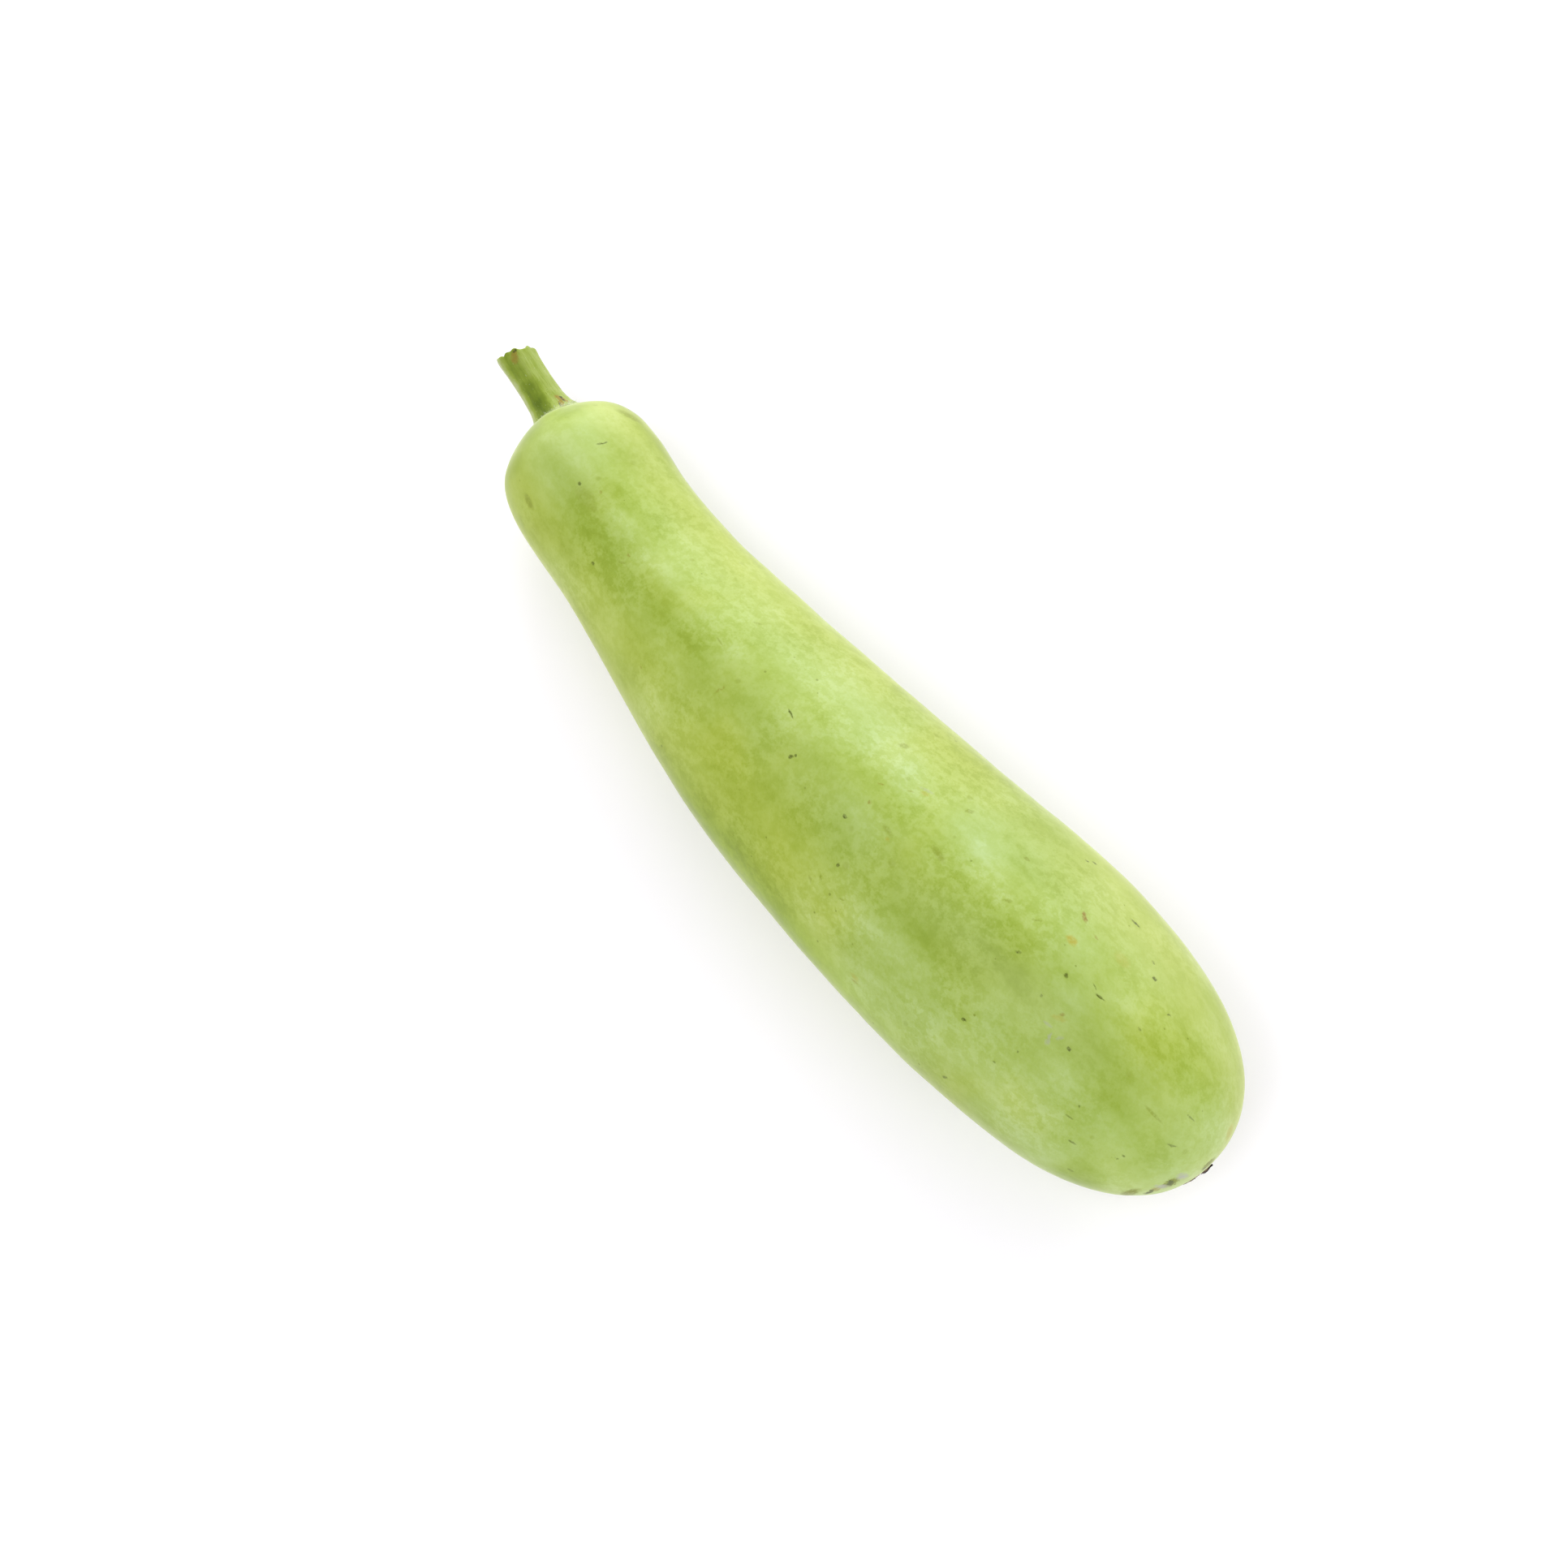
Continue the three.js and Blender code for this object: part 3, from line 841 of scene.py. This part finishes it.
def modelStem():
    rings = stem["rings"]
    stalk = ribbedTube("stalk", rings, stem["ribs"], stem["ribShape"])
    length, tipRadius = rings[-1]

    # the cut: a torn lip, then the pith sunk inside it
    pickVertices(stalk, lambda vertex: vertex.co.x > (length - 0.01) * mm)
    for shrink, push in stem["cut"]:
        bpy.ops.mesh.extrude_region_move(TRANSFORM_OT_translate={"value": (push * mm, 0, 0)})
        bpy.ops.transform.resize(value=(1, shrink, shrink), center_override=(length * mm, 0, 0))
    closePicked()
    pickVertices(stalk, lambda vertex: vertex.co.x < (rings[0][0] + 0.01) * mm)
    closePicked()
    faceOutward(stalk)

    beyondRim = [vertex.co.x > (length - stem["tearDepth"]) * mm for vertex in stalk.data.vertices]
    cutRadius = stem["cutShare"] * tipRadius * mm
    inCut = [
        beyondRim[vertex.index] and math.hypot(vertex.co.y, vertex.co.z) < cutRadius
        for vertex in stalk.data.vertices
    ]
    tears = stem["tears"]
    for turn, tear in enumerate(tears):
        facing = 360 * turn / len(tears)

        def onThisSide(vertex):
            away = (sideAngle(vertex) - facing + 180) % 360 - 180
            return beyondRim[vertex.index] and abs(away) < 180 / len(tears)

        slant = -stem["cutSlant"] * math.sin(math.radians(facing)) * tipRadius
        movePicked(stalk, onThisSide, ((slant + tear) * mm, 0, 0))

    store(stalk, "grown", [vertex.co.copy() for vertex in stalk.data.vertices])
    store(stalk, "cut", [float(inside) for inside in inCut])
    subdivideSmooth(stalk, 2)
    roughen(stalk, "grain", *stem["grain"])
    layPiece(stalk, rindCentre(0), Vector(stem["direction"]).to_track_quat("X", "Z"))
    bpy.ops.object.shade_smooth()
    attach(stalk, "root")
    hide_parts("stem")
    print("stalk modelled,", len(stalk.data.polygons), "faces")
    return stalk


stalkSkin = {
    # from the painted shade band to the pale rim
    "tones": [
        (0, (0.088, 0.138, 0)), (0.3, (0.146, 0.210, 0.006)), (0.55, (0.228, 0.302, 0.026)),
        (0.8, (0.300, 0.372, 0.078)), (1, (0.400, 0.455, 0.190)),
    ],
    "middleTone": 0.7,
    "paintedShadeBand": (-32, 44, 4),  # the painted shade band's middle, and from there where it ends and where it is full, in degrees
    "shadeBandLength": (26, 4, 0.55, 1),  # it grows towards the foot
    "shadeBandContrast": 0.55,
    # painted light and shade round the stalk, paler flanks and a darker underside: angles from the top
    # between which they start and how much paler
    "sides": ((50, 85, 0.15), (95, 140, -0.3)),
    # painted highlight along one side of the stalk
    "highlightSide": ((-42, -70), (-130, -100, 0, 0.25)),
    "streaks": (0.75, 0.5),  # size and contrast
    "streakSqueeze": 0.1,
    "clouds": (5, 0.7),
    "pithColour": (0.50, 0.58, 0.28, 1),
    "pithRimColour": (0.20, 0.28, 0.05, 1),
    "scarColour": (0.25, 0.185, 0.015, 1),
    "scarCoreColour": (0.035, 0.030, 0, 1),
    "footColour": (0.50, 0.57, 0.30, 1),
    "footFade": (2.2, 0.4, 0, 0.6),
    "dots": {"Spacing": 2.2, "Size": 0.22, "Share": 0.35},
    "dotStrength": 0.5,
    "pithClouds": 0.7,
    "pithFade": (0.35, 0.65),
    "cutFade": (0.3, 0.6),
    "cutRim": (5.6, 5.0),  # radius of the dark rim's inner edge
    "cutMiddle": (1.4, 0.4, 0, 0.7),
    "bumps": (0.35, 0.06),  # heights of the streaks and of the pith's clouds
    "roughness": (-0.2, 0.2, 0.44, 0.6),  # the streaks' two extremes, and how rough it is at each
    "shader": {
        "Subsurface Weight": 0.12,
        "Subsurface Radius": (0.7, 1, 0.25),
        "Subsurface Scale": 1.5 * mm,
        "Specular IOR Level": 0.25,
        "Sheen Weight": 0.1,
        "Sheen Roughness": 0.3,
    },
    # distance from the foot, angle, length, width, turn and strength
    "stains": [
        (24.8, -16, 3.8, 2.6, 20, 1.0), (26.2, -6, 2.0, 1.4, 0, 0.8), (3.6, 36, 4.8, 1.9, -35, 1.3),
        (2.2, 24, 3.6, 1.8, 30, 1.1), (12, 120, 5, 1.8, 10, 0.8), (16, -130, 4, 1.5, 5, 0.7),
    ],
    "stainCores": [
        (4.6, 38, 1.5, 0.9, 40, 1.4), (3.0, 36, 1.3, 0.8, 0, 1.3), (1.9, 18, 1.6, 0.6, 30, 1.0),
        (26.9, -4, 1.6, 0.9, 60, 1.1), (1.0, -22, 1.4, 0.8, 60, 0.7),
    ],
}


def stalkMaterial():
    material, tree, shader = newMaterial("ribbedStalk", stalkSkin["shader"])
    places = grownPlaces(tree, side=-1)
    place, along, angle, radius = places

    # painted light and shade: a dark band along the top, darkest and widest at the foot, between paler sides,
    # with a darker underside and a paler highlight side
    middle, *bandWidth = stalkSkin["paintedShadeBand"]
    shadeBand = fade(tree, calc(tree, "ABSOLUTE", minus(tree, angle, middle)), *bandWidth)
    shadeBand = times(tree, shadeBand, fade(tree, along, *stalkSkin["shadeBandLength"]), -stalkSkin["shadeBandContrast"])
    fromTop = calc(tree, "ABSOLUTE", angle)
    sides = (fade(tree, fromTop, start, end, 0, amount) for start, end, amount in stalkSkin["sides"])
    highlightSide = times(tree, *(fade(tree, angle, *limits) for limits in stalkSkin["highlightSide"]))

    streakSize, streakContrast = stalkSkin["streaks"]
    streakPlace = calcVector(tree, "MULTIPLY", place, (stalkSkin["streakSqueeze"], 1, 1))
    streak = useGroup(tree, strokes, Place=streakPlace, Size=streakSize)["Stroke"]
    cloudSize, cloudContrast = stalkSkin["clouds"]
    cloud = useGroup(tree, mottle, Place=place, Size=cloudSize)["Cloud"]
    texture = (times(tree, streak, streakContrast), times(tree, cloud, cloudContrast))
    tone = plus(tree, stalkSkin["middleTone"], shadeBand, *sides, highlightSide, *texture)
    colour = ramp(tree, tone, stalkSkin["tones"])

    for marks, markColour in (("stains", "scarColour"), ("stainCores", "scarCoreColour")):
        colour = blend(tree, markMask(tree, places, stalkSkin[marks]), colour, stalkSkin[markColour])
    dots = useGroup(tree, specks, Place=place, **stalkSkin["dots"])["Mask"]
    colour = blend(tree, times(tree, dots, stalkSkin["dotStrength"]), colour, stalkSkin["scarColour"])
    colour = blend(tree, fade(tree, along, *stalkSkin["footFade"]), colour, stalkSkin["footColour"])

    # the cut: a thin dark rim, then pale pith with fibres round its middle
    pithCloud = noise(tree, place, stalkSkin["pithClouds"], detail=3)
    rimColour = stalkSkin["pithRimColour"]
    pith = blend(tree, fade(tree, pithCloud, *stalkSkin["pithFade"]), rimColour, stalkSkin["pithColour"])
    pith = blend(tree, fade(tree, radius, *stalkSkin["cutRim"]), rimColour, pith)
    pith = blend(tree, fade(tree, radius, *stalkSkin["cutMiddle"]), pith, stalkSkin["scarColour"])
    inCut = fade(tree, attribute(tree, "cut")["Fac"], *stalkSkin["cutFade"])
    colour = blend(tree, inCut, colour, pith)
    wire(tree, shader.inputs["Base Color"], colour)
    wire(tree, shader.inputs["Roughness"], fade(tree, streak, *stalkSkin["roughness"]))
    bumps = (times(tree, value, height) for value, height in zip((streak, pithCloud), stalkSkin["bumps"]))
    bumpNormal(tree, shader, plus(tree, *bumps))
    print("stalk coloured")
    return material


# Down: fine pale hairs round the stalk's foot and on its sides

down = {
    "seed": 11,
    "hairRadius": 0.075 * mm,
    "footHairs": 620,
    "footSpread": (-0.8, 1.6),  # distances from the foot
    "footLength": (0.8, 1.9),
    "stalkHairs": 150,
    "stalkLength": (0.35, 0.8),
    "lean": (-0.5, 0.9),  # towards the cut, against the way outward
    "sway": (-0.5, 0.5),
    "depth": 0.97,  # they start inside the skin, at this share of its radius
    "belowCut": 2.5,  # none grow nearer to the cut than this
    "colour": (0.74, 0.76, 0.68, 1),
    "shadeColour": (0.62, 0.68, 0.48, 1),
    "clouds": 2,  # size of its paler and darker places
    "cloudFade": (0.35, 0.65),
    "shader": {"Roughness": 0.6, "Sheen Weight": 0.4},
}


def stalkRadius(at):
    rings = stem["rings"]
    for (before, radius), (after, nextRadius) in zip(rings, rings[1:]):
        if at <= after:
            return radius + (nextRadius - radius) * (at - before) / (after - before)
    return rings[-1][1]


def modelDown():
    chance = random.Random(down["seed"])
    bpy.ops.object.select_all(action="DESELECT")
    bpy.ops.mesh.primitive_cone_add(vertices=3, radius1=down["hairRadius"], depth=1, location=(0, 0, 0.4))
    pattern = bpy.context.active_object
    workOn(pattern)
    bpy.ops.object.transform_apply(location=True)
    hairs = []
    first, last = down["footSpread"]
    cutAt = stem["rings"][-1][0] - down["belowCut"]
    for count, spread, lengths in (
        (down["footHairs"], (first, last), down["footLength"]),
        (down["stalkHairs"], (last, cutAt), down["stalkLength"]),
    ):
        for _ in range(count):
            at, angle = chance.uniform(*spread), chance.uniform(0, 2 * math.pi)
            outward = Vector((0, math.sin(angle), math.cos(angle)))
            leaning = outward + Vector([chance.uniform(*down[way]) for way in ("lean", "sway", "sway")])
            hair = copyOf(pattern)
            hair.location = Vector((at * mm, 0, 0)) + outward * (stalkRadius(at) * down["depth"] * mm)
            hair.rotation_euler = leaning.to_track_quat("Z", "Y").to_euler()
            hair.scale = (1, 1, chance.uniform(*lengths) * mm)
            hairs.append(hair)
    bpy.data.objects.remove(pattern)
    fuzz = joinCopies(hairs, "stalkDown")
    layPiece(fuzz, rindCentre(0), Vector(stem["direction"]).to_track_quat("X", "Z"))
    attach(fuzz, "root")
    print("down modelled,", len(hairs), "hairs")
    return fuzz


def downMaterial():
    material, tree, shader = newMaterial("paleDown", down["shader"])
    coordinates = tree.nodes.new("ShaderNodeTexCoord")
    place = calcVector(tree, "DIVIDE", coordinates.outputs["Object"], (mm, mm, mm))
    paleness = fade(tree, noise(tree, place, down["clouds"], detail=2), *down["cloudFade"])
    wire(tree, shader.inputs["Base Color"], blend(tree, paleness, down["shadeColour"], down["colour"]))
    return material


# Dried flower: a crumpled pad of shrivelled petals with torn tips, and its style, a thread with a knob

flower = {
    "seed": 5,
    "sides": 72,
    # radius and height of each ring of the pad, from its hub outwards and round under it
    "rings": [
        (0.8, 0.6), (2, 0.75), (3.4, 0.65), (4.9, 0.35), (6.3, -0.1), (7.5, -0.55), (8.3, -1.0), (8.0, -1.7),
        (4, -2.1),
    ],
    "hub": (-2.4, -2.8),  # the pleats run together off the middle
    "outline": (1.0, 0.93, 0.86, 0.9, 1.0, 1.12, 1.05, 0.9, 0.84, 0.88, 1.02, 1.16, 1.08, 0.94, 0.85, 0.88),
    "pleat": 0.4,
    "pleatReach": 0.05,  # how much further out a raised pleat reaches
    "hubRings": 6,  # the rings that the hub takes with it, the inner ones furthest
    "fibreRound": 9,  # radius of the circle on which fibres are told apart
    "crumple": ((2.6 * mm, 0.7 * mm), (0.9 * mm, 0.3 * mm)),
    "petalCrumple": 0.6,  # petals crumple less than the pad
    "petalSize": (5.2, 7.5),
    "petalGrid": (10, 8),
    "petalPleat": (0.35, 0.28),  # how far each pleat is pushed out and up
    "petalEnds": (0.35, 0.3, 0.54),  # least share of its width, height of its hump and drop of its tip
    "petalThickness": 0.25 * mm,
    "petalHeight": -0.05,
    # angle round the pad, distance of the petal's middle, its turn from outward, tilt, share of full size
    "petals": [
        (8, 5.2, 10, 12, 0.9), (62, 5.4, -20, 14, 0.95), (108, 4.4, 30, 12, 0.8), (150, 5.0, -8, 14, 0.85),
        (205, 5.8, 24, 12, 1.0), (262, 5.4, -26, 13, 0.95), (318, 5.6, 14, 13, 0.9),
    ],
    # the style from its foot: distance and radius
    "style": [
        (0, 0.5), (0.6, 0.8), (1.3, 0.9), (2.1, 0.75), (2.8, 0.5), (3.3, 0.36), (3.7, 0.34), (4.1, 0.4),
        (4.3, 0.2),
    ],
    "styleBend": math.radians(38),
    "stylePlace": (-0.4, 4.3, 0.4),
    "styleTurn": -12,
    "settle": (0, -1.6, -0.25),  # the flower hangs a little below the pole
}


def flowerFrame():  # the flower sits on the fruit's far pole and faces along it
    length = rind["length"]
    facing = rindDirection(length).to_track_quat("Z", "Y")
    return rindCentre(length) + facing @ (Vector(flower["settle"]) * mm), facing


def markFibres(piece, fibreOf, ridgeOf):
    store(piece, "fibre", [fibreOf(vertex) for vertex in piece.data.vertices])
    store(piece, "ridge", [ridgeOf(vertex) for vertex in piece.data.vertices])


def modelFlowerPad():
    chance = random.Random(flower["seed"])
    sides, rings = flower["sides"], flower["rings"]
    firstRadius, firstHeight = rings[0]
    bpy.ops.object.select_all(action="DESELECT")
    bpy.ops.mesh.primitive_circle_add(vertices=sides, radius=firstRadius * mm, location=(0, 0, 0))
    pad = bpy.context.active_object
    pad.name = "driedFlower"
    workOn(pad)
    movePicked(pad, lambda vertex: True, (0, 0, firstHeight * mm))
    bpy.ops.object.mode_set(mode="EDIT")
    for (radius, height), (nextRadius, nextHeight) in zip(rings, rings[1:]):
        bpy.ops.mesh.extrude_region_move(TRANSFORM_OT_translate={"value": (0, 0, (nextHeight - height) * mm)})
        growth = nextRadius / radius
        bpy.ops.transform.resize(value=(growth, growth, 1), center_override=(0, 0, 0))
    bpy.ops.object.mode_set(mode="OBJECT")
    lastHeight = rings[-1][1]
    for height in (firstHeight, lastHeight):
        pickVertices(pad, lambda vertex: abs(vertex.co.z - height * mm) < 0.001 * mm)
        closePicked()
    faceOutward(pad)

    # pleats: each side's fold is lifted or sunk and pushed in or out, and the hub is moved off the middle
    flat = [vertex.co.copy() for vertex in pad.data.vertices]
    lifts = [chance.uniform(0.3, 1) * (1 if side % 2 else -1) for side in range(sides)]
    outline = flower["outline"]
    for side in range(sides):
        onSide = [isOnSide(place, 2 * math.pi * side / sides, sides) for place in flat]
        lift = (0, 0, lifts[side] * flower["pleat"] * mm)
        movePicked(pad, lambda vertex: onSide[vertex.index] and flat[vertex.index].z > 0, lift)
        reach = outline[round(side / sides * len(outline)) % len(outline)]
        reach += flower["pleatReach"] * lifts[side]
        scalePicked(pad, lambda vertex: onSide[vertex.index], (reach, reach, 1))
    (hubX, hubY), hubRings = flower["hub"], flower["hubRings"]
    for radius, _ in rings[:hubRings]:
        share = 1 - radius / rings[hubRings][0]
        shift = (hubX * share * mm, hubY * share * mm, 0)
        movePicked(pad, lambda vertex: abs(flat[vertex.index].xy.length - radius * mm) < 0.05 * mm, shift)

    def fibreOf(vertex):
        start = flat[vertex.index]
        angle, span = math.atan2(start.y, start.x), flower["fibreRound"]
        return Vector((span * math.cos(angle), span * math.sin(angle), start.xy.length / mm))

    def ridgeOf(vertex):
        start = flat[vertex.index]
        side = round(math.atan2(start.y, start.x) / (2 * math.pi) * sides) % sides
        return 0.5 + 0.5 * lifts[side]

    markFibres(pad, fibreOf, ridgeOf)
    subdivideSmooth(pad, 1)
    for size, strength in flower["crumple"]:
        roughen(pad, "crumple", size, strength)
    finishFlowerPiece(pad)
    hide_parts("dried_flower")
    print("flower pad modelled")
    return pad


def isOnSide(place, angle, sides):
    away = (math.atan2(place.y, place.x) - angle + math.pi) % (2 * math.pi) - math.pi
    return place.xy.length > 0.01 * mm and abs(away) < math.pi / sides


def finishFlowerPiece(piece):
    layPiece(piece, *flowerFrame())
    bpy.ops.object.shade_smooth()
    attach(piece, "root")


def modelPetals():  # one pleated, curled petal, copied round the pad
    chance = random.Random(flower["seed"] + 1)
    (width, length), (columns, rows) = flower["petalSize"], flower["petalGrid"]
    bpy.ops.object.select_all(action="DESELECT")
    bpy.ops.mesh.primitive_grid_add(x_subdivisions=columns, y_subdivisions=rows, size=mm, location=(0, 0, 0))
    pattern = bpy.context.active_object
    workOn(pattern)
    scalePicked(pattern, lambda vertex: True, (width, length, 1))
    column = width * mm / columns
    lifts = [chance.uniform(0.4, 1) * (1 if side % 2 else -1) for side in range(columns + 1)]
    push, lift = flower["petalPleat"]
    flat = [vertex.co.copy() for vertex in pattern.data.vertices]
    for side, height in enumerate(lifts):
        middle = -width * mm / 2 + side * column
        fold = (0, height * push * mm, height * lift * mm)
        movePicked(pattern, lambda vertex: abs(flat[vertex.index].x - middle) < column / 2, fold)
    # it narrows to both ends, and its tip curls over
    least, hump, curl = flower["petalEnds"]
    for row in range(rows + 1):
        at = row / rows
        middle = (at - 0.5) * length * mm
        inRow = [abs(place.y - middle) < length * mm / rows / 2 for place in flat]
        narrow = least + (1 - least) * math.sin(math.pi * min(0.12 + at * 0.8, 1))
        scalePicked(pattern, lambda vertex: inRow[vertex.index], (narrow, 1, 1))
        rise = (hump * math.sin(math.pi * at) - curl * at**2) * mm
        movePicked(pattern, lambda vertex: inRow[vertex.index], (0, 0, rise))
    markFibres(
        pattern,
        lambda vertex: Vector((flat[vertex.index].x / mm * 2, 0, flat[vertex.index].y / mm)),
        lambda vertex: 0.5 + 0.5 * lifts[round((flat[vertex.index].x + width * mm / 2) / column)],
    )
    applyModifier(pattern, "SOLIDIFY", thickness=flower["petalThickness"])
    subdivideSmooth(pattern, 1)
    petals = []
    for angle, distance, turn, tilt, size in flower["petals"]:
        petal = copyOf(pattern)
        around = math.radians(angle)
        place = (math.cos(around) * distance, math.sin(around) * distance, flower["petalHeight"])
        petal.location = Vector(place) * mm
        petal.rotation_euler = (math.radians(-tilt), 0, around - math.pi / 2 + math.radians(turn))
        petal.scale = (size, size, size)
        petals.append(petal)
    bpy.data.objects.remove(pattern)
    shrivelled = joinCopies(petals, "driedPetals")
    for size, strength in flower["crumple"]:
        roughen(shrivelled, "petalCrumple", size, strength * flower["petalCrumple"])
    finishFlowerPiece(shrivelled)
    print("petals modelled")
    return shrivelled


def modelStyle():
    rings = flower["style"]
    thread = ribbedTube("driedStyle", rings, 8, (1,))
    for at, _ in (rings[0], rings[-1]):
        pickVertices(thread, lambda vertex: abs(vertex.co.x - at * mm) < 0.01 * mm)
        closePicked()
    faceOutward(thread)
    markFibres(thread, lambda vertex: vertex.co / mm, lambda vertex: 0)
    subdivideSmooth(thread, 1)
    applyModifier(thread, "SIMPLE_DEFORM", deform_method="BEND", angle=flower["styleBend"], deform_axis="Z")
    turn = Euler((0, 0, math.radians(flower["styleTurn"])))
    layPiece(thread, Vector(flower["stylePlace"]) * mm, turn.to_quaternion())
    finishFlowerPiece(thread)
    print("style modelled")
    return thread


driedFibres = {
    "tones": [
        (0, (0.012, 0.005, 0.002)), (0.3, (0.055, 0.020, 0.006)), (0.52, (0.170, 0.072, 0.024)),
        (0.75, (0.400, 0.225, 0.115)), (1, (0.680, 0.480, 0.300)),
    ],
    "fibres": (0.55, 2.2),  # size and contrast
    "fibreSqueeze": 0.22,
    "clouds": (4, 1.3),
    # painted highlight on raised pleats and painted shade in sunk ones
    "pleatLightAndShade": 0.42,
    "rimColour": (0.30, 0.33, 0.085, 1),
    "rimFade": (0.3, 0.7),
    "greenest": 0.85,
    "bump": 0.5,
    "roughness": (0.2, 0.8, 0.75, 0.45),  # a dark and a pale tone, and how rough they are
    # brightness, and the distances where the skin's green starts and is full
    "pad": (0.12, 4.5, 7),
    "petals": (0.22, -1, 2.5),
    "style": (-0.3, 20, 30),
}


def driedMaterial(name, brightness, greenFrom, greenTo):
    material, tree, shader = newMaterial(name, {})
    place = attribute(tree, "fibre")["Vector"]
    fibreSize, fibreContrast = driedFibres["fibres"]
    fibrePlace = calcVector(tree, "MULTIPLY", place, (1, 1, driedFibres["fibreSqueeze"]))
    fibre = useGroup(tree, strokes, Place=fibrePlace, Size=fibreSize)["Stroke"]
    cloudSize, cloudContrast = driedFibres["clouds"]
    cloud = useGroup(tree, mottle, Place=place, Size=cloudSize)["Cloud"]
    # raised pleats are painted lighter and sunk ones darker
    tone = plus(
        tree, times(tree, attribute(tree, "ridge")["Fac"], driedFibres["pleatLightAndShade"]),
        times(tree, fibre, fibreContrast), times(tree, cloud, cloudContrast), brightness,
    )
    colour = ramp(tree, tone, driedFibres["tones"])
    rimColour = driedFibres["rimColour"]
    rim = blend(tree, 1, rimColour, blend(tree, 0.5, (1, 1, 1, 1), colour), "MULTIPLY")
    rim = blend(tree, fade(tree, tone, *driedFibres["rimFade"]), rim, rimColour)
    green = fade(tree, separate(tree, place)["Z"], greenFrom, greenTo, 0, driedFibres["greenest"])
    colour = blend(tree, green, colour, rim)
    wire(tree, shader.inputs["Base Color"], colour)
    wire(tree, shader.inputs["Roughness"], fade(tree, tone, *driedFibres["roughness"]))
    bumpNormal(tree, shader, times(tree, fibre, driedFibres["bump"]))
    return material


addCamera()
addStudio()
for piece, material in (
    (modelRind(), skinMaterial()),
    (modelStem(), stalkMaterial()),
    (modelDown(), downMaterial()),
    (modelFlowerPad(), driedMaterial("driedPad", *driedFibres["pad"])),
    (modelPetals(), driedMaterial("driedPetal", *driedFibres["petals"])),
    (modelStyle(), driedMaterial("driedThread", *driedFibres["style"])),
):
    piece.data.materials.append(material)
